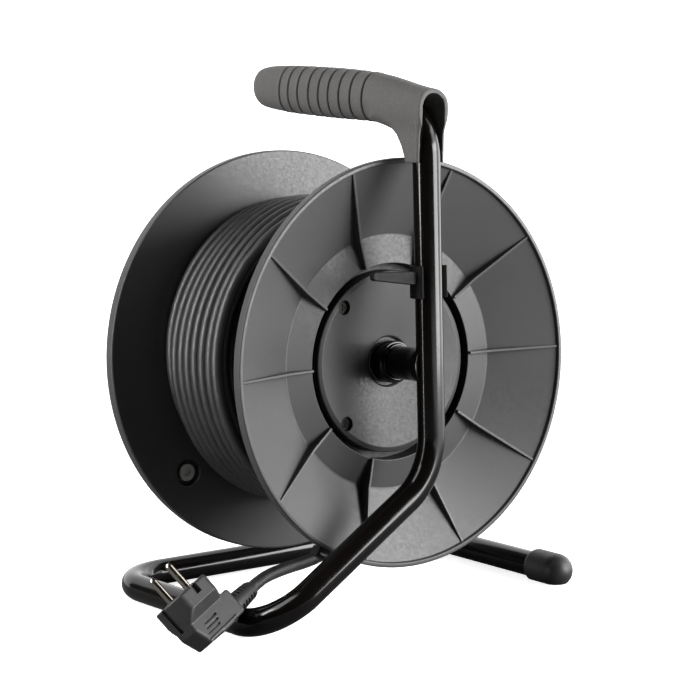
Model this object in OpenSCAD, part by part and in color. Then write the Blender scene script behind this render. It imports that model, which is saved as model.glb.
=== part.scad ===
// Extension cord reel: a two-flange drum on a bent steel tube stand with a
// carrying grip, a crank knob, four lidded outlets on the crank side and a
// cord with an angled earthed plug.
// Millimetres, +Z up. The origin is the middle of the footprint, on the floor.
// The drum turns about a line parallel to Y; the grip and the upright are on -Y.

/* [Drum] */
// Outer radius of the flange next to the upright
near_r = 135; // [110:0.5:160]
// Outer radius of the flange that carries the outlets
far_r = 143.6; // [115:0.2:170]
// Distance between the outer edges of the two rims
drum_w = 152; // [120:1:200]
// Outer radius of the barrel that the cord is wound on
barrel_r = 78; // [60:1:100]
// Wall of the barrel
barrel_wall = 3; // [2:0.5:5]
// Number of stiffening ribs on the near flange
rib_count = 10; // [6:1:16]
// Thickness of one rib
rib_t = 2; // [1:0.5:4]

/* [Stand] */
// Outer diameter of the steel tube
tube_d = 18; // [14:0.5:25]
// Wall of the steel tube
tube_wall = 1.5; // [1:0.1:3]
// Height of the drum axis above the floor
axis_h = 163; // [140:1:200]
// Distance from the drum's middle to the upright
upright_y = 95.3; // [85:0.1:120]
// Half of the floor loop's width on the left
loop_x = 130; // [110:1:160]
// Distance from the drum's middle to the rear run of the loop
loop_back = 100.6; // [90:0.1:130]
// Tilt of the grip above the horizontal, in degrees
grip_tilt = 7.2; // [0:0.1:15]

/* [Axle and bushes] */
// Diameter of the axle
axle_d = 22; // [16:0.5:25]
// Radial running clearance between axle and bush
axle_gap = 0.05; // [0.01:0.01:0.1]

/* [Outlets] */
// Distance of an outlet's axis from the drum axis
outlet_pcd_r = 48; // [44:0.5:52]
// Radius of the outlet's well
well_r = 19.6; // [19:0.1:20.5]
// Depth of the outlet's well
well_depth = 17.5; // [16:0.5:19]

/* [Cord] */
// Diameter of the cord
cord_d = 8; // [6:0.5:11]

/* [Hidden] */

tr = tube_d / 2;
half_w = drum_w / 2;
near_y = -half_w;            // outer edge of the near rim
far_y = half_w;              // outer edge of the far rim
floor_z = -axis_h;
loop_z = floor_z + tr;
fr_x = 131.8;                // rear right corner of the loop
leg_end = [118.4, -85, loop_z];
low_bend_z = -71.8;          // where the upright turns into the diagonal
top_bend_z = 168;            // where the upright's axis meets the grip's axis
y_front = -107;              // front of the footprint, at the lever's ring
y_back = 113;                // end of the crank knob
y_mid = (y_front + y_back) / 2;
web_in = -50.8;              // flat inner face of the near flange's middle
far_in = 68;                 // inner face of the far flange
ar = axle_d / 2;
knob_r = 117;
knob_x = -86;
knob_z = -79.4;
cr = cord_d / 2;
mouth_y = 77.3;              // front edge of an outlet
lid_hinge = 28;              // lid hinge line from the outlet's axis
lid_hinge_y = 79;
dirs = [[1, 1], [-1, 1], [-1, -1], [1, -1]];
op = outlet_pcd_r * sqrt(0.5);

module placed() { translate([0, -y_mid, axis_h]) children(); }
// turn a local +Z axis onto +Y
module along_y() { rotate([-90, 0, 0]) children(); }
module rev(pts, n = 72) { along_y() rotate_extrude($fn = n) polygon(pts); }
module cyl_y(x, z, y0, y1, r, n = 32) { translate([x, y0, z]) along_y() cylinder(h = y1 - y0, r = r, $fn = n); }

function unit(v) = v / norm(v);
function tlen(a, b, R) = R * tan(acos(unit(a) * unit(b)) / 2);

module seg(p, q, r) {
    v = q - p;
    translate(p) rotate([0, acos(v[2] / norm(v)), atan2(v[1], v[0])]) cylinder(h = norm(v), r = r, $fn = 32);
}
// round bend at vertex V from direction u into direction w
module bend(V, u, w, R, r) {
    a = acos(u * w);
    m = unit(w - (w * u) * u);
    n = cross(u, m);
    c = V - u * (R * tan(a / 2)) + m * R;
    multmatrix([[-m[0], u[0], n[0], c[0]], [-m[1], u[1], n[1], c[1]], [-m[2], u[2], n[2], c[2]], [0, 0, 0, 1]])
        rotate_extrude(angle = a, $fn = 72) translate([R, 0]) circle(r = r, $fn = 32);
}

// ---------------------------------------------------------------- stand
V5 = [0, -upright_y, top_bend_z];
V1 = [0, -upright_y, low_bend_z];
V2 = [-loop_x, -upright_y, loop_z];
V3 = [-loop_x, loop_back, loop_z];
V4 = [fr_x, loop_back, loop_z];
d_up = [0, 0, -1];
d_grip = [0, -cos(grip_tilt), -sin(grip_tilt)];
d_diag = unit(V2 - V1);
d_left = [0, 1, 0];
d_back = [1, 0, 0];
d_leg = unit(leg_end - V4);
R5 = 38;
R1 = 48;
R2 = 35;
R34 = 40;
grip_in = V5 - d_grip * 150;

// straight and bent lengths meet end to end, a hair apart
module straight(p, q) {
    e = unit(q - p);
    difference() {
        seg(p + e * 0.004, q - e * 0.004, tr);
        seg(p - e, q + e, tr - tube_wall);
    }
}
module elbow(V, u, w, R) {
    difference() {
        bend(V, u, w, R, tr);
        bend(V, u, w, R, tr - tube_wall);
    }
}

module frame_tube() placed() color([0.06, 0.06, 0.06]) {
    straight(grip_in, V5 - d_grip * tlen(d_grip, d_up, R5));
    elbow(V5, d_grip, d_up, R5);
    straight(V5 + d_up * tlen(d_grip, d_up, R5), V1 - d_up * tlen(d_up, d_diag, R1));
    elbow(V1, d_up, d_diag, R1);
    straight(V1 + d_diag * tlen(d_up, d_diag, R1), V2 - d_diag * tlen(d_diag, d_left, R2));
    elbow(V2, d_diag, d_left, R2);
    straight(V2 + d_left * tlen(d_diag, d_left, R2), V3 - d_left * tlen(d_left, d_back, R34));
    elbow(V3, d_left, d_back, R34);
    straight(V3 + d_back * tlen(d_left, d_back, R34), V4 - d_back * tlen(d_back, d_leg, R34));
    elbow(V4, d_back, d_leg, R34);
    straight(V4 + d_leg * tlen(d_back, d_leg, R34), leg_end);
}

module axle() placed() color([0.55, 0.55, 0.57])
    difference() {
        union() {
            cyl_y(0, 0, -upright_y + 2, 64, ar, 48);
            cyl_y(0, 0, 64, 72, 5, 32);
        }
        translate([0, -upright_y, -30]) cylinder(h = 60, r = tr, $fn = 32);
    }

module axle_weld() placed() color([0.07, 0.07, 0.07])
    difference() {
        rev([[ar, -upright_y + 4], [12.6, -upright_y + 4], [12.4, -upright_y + 6.5], [11.5, -upright_y + 10.5], [ar, -upright_y + 11]], 48);
        translate([0, -upright_y, -30]) cylinder(h = 60, r = tr, $fn = 32);
    }

// collar that keeps the drum off the upright
module axle_ring() placed() color([0.06, 0.06, 0.06])
    rev([[ar, -62.4], [12.2, -62.4], [12.4, -62.2], [12.4, -60.2], [13.4, -60.2], [14, -59.6], [14, -49.2], [ar, -49.2]], 48);

module axle_washer() placed() color([0.7, 0.7, 0.72])
    rev([[5, 64.1], [13.5, 64.1], [13.5, 65.6], [5, 65.6]], 32);

module axle_nut() placed() color([0.72, 0.72, 0.74])
    difference() {
        cyl_y(0, 0, 65.6, 70.6, 9, 6);
        cyl_y(0, 0, 65, 71, 5, 32);
    }

// grip stations: [y, top z, bottom z, half width]
grip_st = [[-102.3, 176.8, 152, 10.6], [-92, 179.5, 153, 11], [-78, 183.2, 155, 11.3], [-62, 187.4, 157, 11.7],
           [-49, 190.2, 158.8, 12.1], [-27, 193.5, 161, 12.3], [-5, 196.4, 163, 12.5], [18, 199.2, 165.4, 12.5],
           [42, 201.3, 168.2, 12.4], [54, 202.2, 169.7, 12.2], [66, 203, 171.5, 11.8], [75, 203.2, 173, 11.4],
           [82, 202.7, 174.6, 10.8], [86.5, 201.3, 176.2, 9.8], [89.8, 198.3, 179.3, 7.4],
           [91.8, 193, 184.2, 3.2]];
gn = 20;
// oval with flattened flanks
function oval(s, a) = [s[3] * sign(cos(a)) * pow(abs(cos(a)), 0.8), s[0], (s[1] + s[2]) / 2 + (s[1] - s[2]) / 2 * sin(a)];
grip_pts = [for (s = grip_st) for (i = [0 : gn - 1]) oval(s, 360 * i / gn)];
grip_faces = concat([[for (i = [gn - 1 : -1 : 0]) i]],
    [for (k = [0 : len(grip_st) - 2]) for (i = [0 : gn - 1])
        [k * gn + i, k * gn + (i + 1) % gn, (k + 1) * gn + (i + 1) % gn, (k + 1) * gn + i]],
    [[for (i = [0 : gn - 1]) (len(grip_st) - 1) * gn + i]]);

module handle_grip() placed() color([0.27, 0.27, 0.27])
    difference() {
        union() {
            polyhedron(points = grip_pts, faces = grip_faces);
            // neck over the upright, with an arched top
            intersection() {
                translate([11, 0, 0]) rotate([90, 0, -90]) linear_extrude(height = 22)
                    polygon([[99.7, 131], [102.2, 168], [101.8, 175.7], [60, 175.7], [50, 162], [60, 157.5],
                             [69, 153], [74, 148], [77.5, 141], [80, 131]]);
                union() {
                    translate([-11, -110, 130]) cube([22, 17, 35]);
                    // round back that follows the arch forward and up
                    seg([0, -101.4, 124], [0, -67.2, 169.6], 11);
                    cyl_y(0, 165, -110, -40, 11, 48);
                }
            }
        }
        // bore for the tube
        seg(grip_in - d_grip * 0.5, V5 - d_grip * (tlen(d_grip, d_up, R5) - 0.5), tr + 0.05);
        bend(V5, d_grip, d_up, R5, tr + 0.05);
        seg(V5 + d_up * (tlen(d_grip, d_up, R5) - 0.5), V5 + d_up * 60, tr + 0.05);
        // slot that lets the neck drop over the upright
        translate([-tr - 0.3, -112, 120]) cube([2 * tr + 0.6, 112 - upright_y, 46]);
        cyl_y(0, 166, -112, -upright_y + 8, tr + 0.3, 32);
    }

// rubber cap on the open leg, flat where it stands on the floor
module foot_cap() placed() color([0.10, 0.10, 0.10])
    difference() {
        translate(leg_end) rotate([0, 90, atan2(d_leg[1], d_leg[0])]) rotate_extrude($fn = 40)
            polygon(concat([[0, 0.3], [tr + 0.02, 0.3], [tr + 0.02, -22], [11.3, -22], [11.8, -21.4]],
                [for (a = [0 : 15 : 90]) [11.8 * cos(a), 11.8 * sin(a)]]));
        translate([80, -120, floor_z - 10]) cube([80, 100, 10]);
    }

// ---------------------------------------------------------------- lock lever
module lock_lever() placed() color([0.05, 0.05, 0.05])
    union() {
        translate([0, -upright_y, 44]) rotate([0, 0, -32.5]) rotate_extrude(angle = 245, $fn = 48)
            translate([tr + 0.06, 0]) square([3.1, 21]);
        translate([0, -upright_y + 2.2, 0]) rotate([90, 0, 0]) linear_extrude(height = 4.4)
            polygon([[-11, 52.6], [-45, 57.3], [-46, 58.2], [-46, 61.4], [-45, 62.2], [-11, 61.8]]);
    }

// ---------------------------------------------------------------- drum
module near_flange() placed() color([0.42, 0.42, 0.43])
    difference() {
        union() {
            rev([[near_r, near_y], [near_r, near_y + 6.8], [near_r - 2.6, near_y + 6.8], [near_r - 2.6, near_y + 5.4],
                 [86.2, web_in], [67.6, web_in], [67.6, -42], [58.8, -42], [58.8, -48.5], [44, -48.5], [44, -50.5],
                 [60.8, -50.5], [60.8, -44], [65.6, -44], [65.6, -56], [85, -53.4], [near_r - 3.4, near_y + 2.4], [near_r - 3, near_y]], 96);
            for (i = [0 : rib_count - 1]) rotate([0, -(0.9 + 360 / rib_count * i), 0])
                translate([0, 0, -rib_t / 2]) linear_extrude(height = rib_t)
                    polygon([[66, -55], [85, -52.6], [131.8, -72.8], [131.8, -74.6], [86.2, -60.8], [66, -58.2]]);
        }
        for (d = dirs) cyl_y(38.2 * d[0], 38.2 * d[1], -52, -47, 2, 24);
    }

// bracket on the rim that catches the cord
module cable_hook() placed() color([0.12, 0.12, 0.12])
    rotate([0, 122.4, 0]) translate([near_r, -75, -5])
        difference() {
            translate([0.1, 0, 0]) cube([6.4, 7, 10]);
            translate([2, -1, 2.5]) cube([2.4, 9, 9]);
        }

module hub_cover() placed() color([0.55, 0.55, 0.56])
    difference() {
        union() {
            rev([[60.8, -53.6], [60.2, -54.6], [58.6, -55.3], [17.4, -51.4], [16.4, -50.6], [16.4, -48.5], [14, -48.5], [14, -36],
                 [18.6, -36], [18.6, -48.2], [58.4, -52.4], [58.4, -50.5], [60.8, -50.5]], 72);
            for (d = dirs) cyl_y(38.2 * d[0], 38.2 * d[1], -54, -50.5, 7, 32);
        }
        for (d = dirs) {
            cyl_y(38.2 * d[0], 38.2 * d[1], -57, -51.4, 4.5, 32);
            cyl_y(38.2 * d[0], 38.2 * d[1], -53, -50, 2.1, 24);
        }
    }

module hub_screws() placed() color([0.16, 0.16, 0.17])
    for (d = dirs) difference() {
        union() {
            cyl_y(38.2 * d[0], 38.2 * d[1], -52.6, -51.4, 3.4, 24);
            cyl_y(38.2 * d[0], 38.2 * d[1], -51.4, -46, 2, 24);
        }
        translate([38.2 * d[0] - 0.5, -54, 38.2 * d[1] - 2.2]) cube([1, 2, 4.4]);
        translate([38.2 * d[0] - 2.2, -54, 38.2 * d[1] - 0.5]) cube([4.4, 2, 1]);
    }

module barrel() placed() color([0.12, 0.12, 0.12])
    difference() {
        rev([[barrel_r - barrel_wall, web_in], [barrel_r, web_in], [barrel_r, far_in], [barrel_r - barrel_wall, far_in]], 72);
        // slot where the cord passes from the inside to the first turn
        along_y() translate([0, 0, web_in - 1]) rotate([0, 0, -242]) rotate_extrude(angle = 80, $fn = 72)
            translate([barrel_r - barrel_wall - 2, 0]) square([barrel_wall + 4, 19.5]);
    }

module far_flange() placed() color([0.42, 0.42, 0.43])
    difference() {
        union() {
            rev([[far_r, far_y], [far_r, far_in], [barrel_r - 2, far_in], [barrel_r - 2, far_in + 3], [far_r - 3, far_in + 3],
                 [far_r - 3, far_y]], 96);
            cyl_y(knob_x, knob_z, far_in + 1, far_in + 9, 12.5, 48);
        }
        cyl_y(knob_x, knob_z, far_in - 1, far_in + 5, 9.4, 32);
        cyl_y(knob_x, knob_z, far_in + 4, far_in + 10, 4, 32);
        for (a = [0 : 90 : 270]) rotate([0, a, 0]) cyl_y(79, 0, far_in - 1, far_in + 4, 1.5, 20);
    }

module bush_near() placed() color([0.75, 0.75, 0.75])
    rev([[ar + axle_gap, -48.5], [14, -48.5], [14, -36], [16.5, -36], [16.5, -34], [ar + axle_gap, -34]], 48);

module bush_far() placed() color([0.75, 0.75, 0.75])
    rev([[ar + axle_gap, 38], [16.5, 38], [16.5, 40], [14, 40], [14, 63.9], [ar + axle_gap, 63.9]], 48);

// ---------------------------------------------------------------- outlets
module socket_panel() placed() color([0.13, 0.13, 0.14])
    difference() {
        union() {
            rev([[82, 71], [82, 73.5], [80.5, 75], [16.5, 75], [16.5, 64], [14, 64], [14, 40], [17.5, 40], [17.5, 71]], 72);
            translate([-8, 44, -20]) cube([16, 12, 4.4]);
        }
        cyl_y(0, 0, 30, 64, 14, 48);
        for (d = dirs) cyl_y(op * d[0], op * d[1], 68, 78, 22.1, 48);
        cyl_y(-62, 0, 68, 78, 6.1, 32);
        for (a = [0 : 90 : 270]) rotate([0, a, 0]) cyl_y(79, 0, 70, 76, 1.6, 20);
    }

module centre_cap() placed() color([0.13, 0.13, 0.14])
    rev([[0, 75], [14.4, 75], [14.4, 71.5], [16.3, 71.5], [16.3, 75], [19, 75], [19, 76.2], [16, 77.6], [0, 78.2]], 48);

module panel_screws() placed() color([0.7, 0.7, 0.72])
    for (a = [0 : 90 : 270]) rotate([0, a, 0]) difference() {
        union() {
            cyl_y(79, 0, 75, 76.6, 2.6, 24);
            cyl_y(79, 0, 68.4, 75, 1.45, 20);
        }
        translate([78.6, 75.6, -1.8]) cube([0.8, 2, 3.6]);
        translate([77.2, 75.6, -0.4]) cube([3.6, 2, 0.8]);
    }

// local frame of outlet i: origin on its axis, +X outward from the drum axis, +Y unchanged
module at_outlet(i) {
    rotate([0, -(45 + 90 * i), 0]) translate([outlet_pcd_r, 0, 0]) children();
}

module socket(i) placed() color([0.16, 0.16, 0.17])
    at_outlet(i) difference() {
        union() {
            rev([[0, mouth_y - well_depth - 3.3], [22, mouth_y - well_depth - 3.3], [22, 75], [25, 75], [25, mouth_y],
                 [well_r, mouth_y], [well_r, mouth_y - well_depth], [0, mouth_y - well_depth]], 48);
            for (s = [-1, 1]) translate([0, 0, 8.8 * s]) {
                translate([22.8, 75, -1.5]) cube([4, mouth_y - 75, 3]);
                translate([25.6, 75, -1.5]) cube([4.8, lid_hinge_y - 75, 3]);
                translate([lid_hinge, lid_hinge_y, -1.5]) cylinder(h = 3, r = 2.4, $fn = 24);
            }
        }
        for (s = [-1, 1]) {
            cyl_y(0, 9.5 * s, mouth_y - well_depth - 4, mouth_y - well_depth + 1, 2.7, 20);
            cyl_y(22.1 * s * 0.74, 0, 55, 55.5, 1, 12);
        }
        translate([lid_hinge, lid_hinge_y, -12]) cylinder(h = 24, r = 1, $fn = 20);
    }
module socket_1() socket(0);
module socket_2() socket(1);
module socket_3() socket(2);
module socket_4() socket(3);

module earth_clips() placed() color([0.8, 0.78, 0.7])
    for (i = [0 : 3]) at_outlet(i) for (s = [-1, 1])
        translate([s * (well_r - 0.9) - 0.7, mouth_y - well_depth, -2.5]) cube([1.4, 14, 5]);

module lid_pins() placed() color([0.75, 0.75, 0.77])
    for (i = [0 : 3]) at_outlet(i) translate([lid_hinge, lid_hinge_y, -10.3]) cylinder(h = 20.6, r = 1, $fn = 20);

module lid(i) placed() color([0.14, 0.14, 0.15])
    at_outlet(i) difference() {
        union() {
            rev([[0, mouth_y + 0.3], [17, mouth_y + 0.3], [17, mouth_y - 1.6], [18.4, mouth_y - 1.6], [18.4, mouth_y + 0.3],
                 [24.5, mouth_y + 0.3], [24.5, mouth_y + 1.8], [23, mouth_y + 2.8], [0, mouth_y + 3.2]], 48);
            translate([20, lid_hinge_y - 0.8, -6.5]) cube([8, 2, 13]);
            translate([lid_hinge, lid_hinge_y, -7]) cylinder(h = 14, r = 2.3, $fn = 24);
            // finger tab on the side away from the hinge
            translate([-27, mouth_y + 0.5, -6]) cube([5, 2, 12]);
        }
        translate([lid_hinge, lid_hinge_y, -12]) cylinder(h = 24, r = 1.05, $fn = 20);
    }
module lid_1() lid(0);
module lid_2() lid(1);
module lid_3() lid(2);
module lid_4() lid(3);

module cutout_body() placed() color([0.08, 0.08, 0.08])
    difference() {
        union() {
            cyl_y(-62, 0, 75, 78, 8, 32);
            cyl_y(-62, 0, 48, 75, 6, 32);
        }
        cyl_y(-62, 0, 64, 79, 4.2, 32);
    }

module cutout_button() placed() color([0.7, 0.1, 0.08])
    rev_at(-62, 0, [[0, 67], [3.9, 67], [3.9, 80], [3.2, 81], [0, 81]], 32);

module rev_at(x, z, pts, n) { translate([x, 0, z]) rev(pts, n); }

module terminal_block() placed() color([0.85, 0.85, 0.8])
    difference() {
        translate([-9.5, 44, -31]) cube([19, 12, 11]);
        for (x = [-6, 0, 6]) {
            translate([x, 43, -25]) along_y() cylinder(h = 14, r = 1.6, $fn = 16);
            translate([x, 50, -32]) cylinder(h = 4, r = 1.4, $fn = 16);
        }
    }

// saddle that grips the cord inside the barrel
module cable_clamp() placed() color([0.2, 0.2, 0.2])
    rotate([0, -clamp_a, 0]) difference() {
        translate([45, -48.5, -7]) cube([13.2, 19, 14]);
        translate([lead_r0, lead_y0, -9]) cylinder(h = 18, r = cr + 0.1, $fn = 24);
    }

// ---------------------------------------------------------------- crank
module knob_bolt() placed() color([0.7, 0.7, 0.72])
    difference() {
        union() {
            cyl_y(knob_x, knob_z, far_in + 1.4, far_in + 5, 6, 24);
            cyl_y(knob_x, knob_z, far_in + 5, 108, 3.95, 32);
        }
        cyl_y(knob_x, knob_z, far_in, far_in + 3.4, 3, 6);
    }

module knob_locknut() placed() color([0.72, 0.72, 0.74])
    difference() {
        cyl_y(knob_x, knob_z, far_in + 9, far_in + 12, 7, 6);
        cyl_y(knob_x, knob_z, far_in + 8, far_in + 13, 3.95, 32);
    }

module knob_endnut() placed() color([0.72, 0.72, 0.74])
    difference() {
        cyl_y(knob_x, knob_z, 104, 108, 6.6, 6);
        cyl_y(knob_x, knob_z, 103, 109, 3.95, 32);
    }

module crank_knob() placed() color([0.08, 0.08, 0.08])
    translate([knob_x, 0, knob_z])
        rev([[4, 80.5], [13, 80.5], [14, 82], [14, 84], [11, 90], [10.6, 96], [12, 105], [12.6, 110], [11.6, y_back],
             [7.4, y_back], [7.4, 103.6], [4, 103.6]], 40);

// ---------------------------------------------------------------- cord
// pile of turns, highest against the far flange
module cable_winding() placed() color([0.10, 0.10, 0.10])
    rev([[barrel_r, web_in + 0.3], [86, web_in + 0.3], [86, -34], [93, -33], [93, -13], [100, -12], [100, 0],
         [104, 1], [107, 4], [107, far_in - 0.2], [barrel_r, far_in - 0.2]], 72);

// sweep a round section along a route
cs = 8;
function tang(P, i) = unit(P[min(i + 1, len(P) - 1)] - P[max(i - 1, 0)]);
function side(t) = unit(cross(t, [0.05, 0.1, 1]));
function ring(P, i, r) = let (t = tang(P, i), a = side(t), b = cross(t, a))
    [for (k = [0 : cs - 1]) P[i] + r * (cos(360 * k / cs) * a + sin(360 * k / cs) * b)];
function sweep_pts(P, r) = [for (i = [0 : len(P) - 1]) for (p = ring(P, i, r[i])) p];
function sweep_faces(n) = concat([[for (k = [cs - 1 : -1 : 0]) k]],
    [for (i = [0 : n - 2]) for (k = [0 : cs - 1])
        [i * cs + k, i * cs + (k + 1) % cs, (i + 1) * cs + (k + 1) % cs, (i + 1) * cs + k]],
    [[for (k = [0 : cs - 1]) (n - 1) * cs + k]]);
// smooth curve through hand-chosen points
function cat(p, t) = 0.5 * ((2 * p[1]) + (p[2] - p[0]) * t + (2 * p[0] - 5 * p[1] + 4 * p[2] - p[3]) * t * t
    + (3 * p[1] - p[0] - 3 * p[2] + p[3]) * t * t * t);
function pad(P) = concat([2 * P[0] - P[1]], P, [2 * P[len(P) - 1] - P[len(P) - 2]]);
function curve(P, n) = let (Q = pad(P)) concat([for (i = [0 : len(P) - 2]) for (j = [0 : n - 1])
    cat([Q[i], Q[i + 1], Q[i + 2], Q[i + 3]], j / n)], [P[len(P) - 1]]);

// inner lead: spirals outward from the clamp to the first turn
clamp_a = 20;
lead_r0 = 52;
lead_y0 = -35.5;
lead_n = 22;
lead = [for (k = [0 : lead_n]) let (s = k / lead_n, a = clamp_a - 210 * s, r = lead_r0 + 27.5 * s, t = max(0, (s - 0.3) / 0.7))
    [r * cos(a), lead_y0 - 9.6 * t * t * t, r * sin(a)]];
module inner_lead() placed() color([0.10, 0.10, 0.10])
    polyhedron(points = sweep_pts(lead, [for (p = lead) cr * 0.98]), faces = sweep_faces(len(lead)));

// plug: local +Z along the pins, +Y along the cord's way out
plug_o = [-177.2, -67.1, -128.6];
plug_u = unit([-0.461, 0.476, 0.749]);
plug_c0 = [0.875, 0.384, 0.295];
plug_c = unit(plug_c0 - (plug_c0 * plug_u) * plug_u);
plug_s = cross(plug_c, plug_u);
module at_plug() {
    multmatrix([[plug_s[0], plug_c[0], plug_u[0], plug_o[0]], [plug_s[1], plug_c[1], plug_u[1], plug_o[1]],
                [plug_s[2], plug_c[2], plug_u[2], plug_o[2]], [0, 0, 0, 1]]) children();
}
relief_l = 23;
relief_a = plug_o + plug_c * 26.8 - plug_u * 27.4;
relief_b = relief_a + plug_c * relief_l;

// free end: from the strain relief over the left run and up to the last turn
tail_route = [relief_b, relief_b + plug_c * 6, [-107.8, -54.4, -131.3], [-98.6, -49.6, -130.6], [-87.6, -44.8, -130.3],
              [-75, -39.8, -130.3], [-58, -33.8, -130.3], [-42, -28, -129], [-22, -20, -125], [0, -12, -117],
              [22, -6.5, -107], [46, -4.6, -94.8], [70, -4.6, -78.4]];
tail = curve(tail_route, 3);
module cable_tail() placed() color([0.10, 0.10, 0.10])
    polyhedron(points = sweep_pts(tail, [for (p = tail) cr]), faces = sweep_faces(len(tail)));

// tapered sleeve with four rows of slots
module plug_relief() placed() color([0.12, 0.12, 0.12])
    translate(relief_a) rotate([0, acos(plug_c[2]), atan2(plug_c[1], plug_c[0])]) difference() {
        rotate_extrude($fn = 32) polygon([[0, 0], [6.9, 0], [5.9, relief_l - 2.4], [5.6, relief_l - 0.8], [4.9, relief_l], [0, relief_l]]);
        for (a = [107, 177, 287, 357]) rotate([0, 0, a]) for (k = [0 : 4]) translate([4.6, -2.7, 2.4 + 3.6 * k]) cube([4, 5.4, 1.6]);
    }
module plug_body() placed() color([0.12, 0.12, 0.13])
    at_plug() difference() {
        intersection() {
            union() {
                translate([0, 0, -22]) cylinder(h = 22, r = 19.4, $fn = 48);
                translate([0, 0, -34.5]) cylinder(h = 12.5, r1 = 15.2, r2 = 19.4, $fn = 48);
                translate([-9, 0, -34.5]) cube([18, 26.4, 18]);
            }
            // flat flanks that step in towards the back
            translate([0, 30, 0]) rotate([90, 0, 0]) linear_extrude(height = 60)
                polygon([[-14.6, 1], [14.6, 1], [14.6, -12], [8, -18.5], [7.5, -36], [-7.5, -36], [-8, -18.5], [-14.6, -12]]);
        }
        for (s = [-1, 1]) {
            // earth contact grooves, guide notches and finger grooves
            translate([-1.6, s * 19.4 - 2.4, -18.8]) cube([3.2, 4.8, 20]);
            translate([s * 14.6 - 3, -2.4, -6.8]) cube([6, 4.8, 8]);
            for (k = [0 : 2]) translate([s * 7.7 - 0.9, -8 - 1.5 * k, -23.4 - 3 * k]) cube([1.8, 13, 1.1]);
        }
    }
module plug_pins() placed() color([0.8, 0.78, 0.72])
    at_plug() for (s = [-1, 1]) translate([9.5 * s, 0, 0]) {
        cylinder(h = 17, r = 2.4, $fn = 20);
        translate([0, 0, 17]) cylinder(h = 2, r1 = 2.4, r2 = 1.4, $fn = 20);
    }

frame_tube();
axle();
axle_weld();
axle_ring();
axle_washer();
axle_nut();
handle_grip();
foot_cap();
lock_lever();
near_flange();
cable_hook();
hub_cover();
hub_screws();
barrel();
far_flange();
bush_near();
bush_far();
socket_panel();
centre_cap();
panel_screws();
socket_1();
socket_2();
socket_3();
socket_4();
earth_clips();
lid_pins();
lid_1();
lid_2();
lid_3();
lid_4();
cutout_body();
cutout_button();
terminal_block();
cable_clamp();
knob_bolt();
knob_locknut();
knob_endnut();
crank_knob();
cable_winding();
inner_lead();
cable_tail();
plug_relief();
plug_body();
plug_pins();
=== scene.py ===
import math

import bmesh
import bpy
import numpy as np
from mathutils import Matrix, Vector


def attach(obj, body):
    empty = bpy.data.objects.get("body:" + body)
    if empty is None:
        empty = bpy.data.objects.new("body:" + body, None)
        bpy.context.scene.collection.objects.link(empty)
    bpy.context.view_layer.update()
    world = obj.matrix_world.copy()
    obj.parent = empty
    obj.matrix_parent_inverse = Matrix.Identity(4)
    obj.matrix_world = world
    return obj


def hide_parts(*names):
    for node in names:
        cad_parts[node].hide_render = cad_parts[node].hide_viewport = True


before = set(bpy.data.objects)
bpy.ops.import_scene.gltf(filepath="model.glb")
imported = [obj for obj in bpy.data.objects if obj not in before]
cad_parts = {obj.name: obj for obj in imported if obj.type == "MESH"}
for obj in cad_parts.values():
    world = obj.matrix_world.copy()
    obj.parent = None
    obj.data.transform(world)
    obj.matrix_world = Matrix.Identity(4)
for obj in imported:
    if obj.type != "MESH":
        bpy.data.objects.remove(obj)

scene = bpy.context.scene
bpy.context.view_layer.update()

# Every length below is in millimetres from the drum's middle, on its axis, as in the CAD source.
MID = np.array([0.0, -3.0, 163.0])
FLOOR = -163.0


def P(p):
    return (np.asarray(p, float) + MID) / 1000.0


def unit(v):
    v = np.asarray(v, float)
    return v / np.linalg.norm(v)


# ---------------------------------------------------------------- camera
AZ, EL, ROLL, DIST = math.radians(-36.354), math.radians(5.509), math.radians(-1.308), 1.25
back = np.array([math.sin(AZ) * math.cos(EL), -math.cos(AZ) * math.cos(EL), math.sin(EL)])
right = np.array([math.cos(AZ), math.sin(AZ), 0.0])
up = np.cross(back, right)
r2 = right * math.cos(ROLL) + up * math.sin(ROLL)
u2 = -right * math.sin(ROLL) + up * math.cos(ROLL)
target = np.array([0.0, -0.003, 0.163])
cam_data = bpy.data.cameras.new("view")
cam = bpy.data.objects.new("view", cam_data)
scene.collection.objects.link(cam)
m = Matrix.Identity(4)
for i in range(3):
    m[i][0], m[i][1], m[i][2], m[i][3] = r2[i], u2[i], back[i], target[i] + DIST * back[i]
cam.matrix_world = m
cam_data.sensor_fit = "HORIZONTAL"
cam_data.sensor_width = 36.0
cam_data.lens = 1808.657 / 700 * 36
cam_data.shift_x = 7.206 / 700
cam_data.shift_y = 6.301 / 700
cam_data.clip_start = 0.05
cam_data.clip_end = 20
scene.camera = cam
scene.view_settings.view_transform = "Standard"
scene.view_settings.look = "None"


# ---------------------------------------------------------------- materials
def material(name):
    ma = bpy.data.materials.new(name)
    ma.use_nodes = True
    nt = ma.node_tree
    nt.nodes.clear()
    out = nt.nodes.new("ShaderNodeOutputMaterial")
    bsdf = nt.nodes.new("ShaderNodeBsdfPrincipled")
    nt.links.new(bsdf.outputs[0], out.inputs[0])
    return ma, nt, bsdf


def noise(nt, vec, scale, detail=3.0, rough=0.55, dist=0.0):
    n = nt.nodes.new("ShaderNodeTexNoise")
    n.inputs["Scale"].default_value = scale
    n.inputs["Detail"].default_value = detail
    n.inputs["Roughness"].default_value = rough
    n.inputs["Distortion"].default_value = dist
    nt.links.new(vec, n.inputs["Vector"])
    return n.outputs[0]


def ramp(nt, fac, stops):
    r = nt.nodes.new("ShaderNodeValToRGB")
    e = r.color_ramp.elements
    while len(e) < len(stops):
        e.new(0.5)
    for x, (pos, c) in zip(e, stops):
        x.position = pos
        x.color = (*c, 1) if len(c) == 3 else c
    nt.links.new(fac, r.inputs[0])
    return r.outputs[0]


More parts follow.
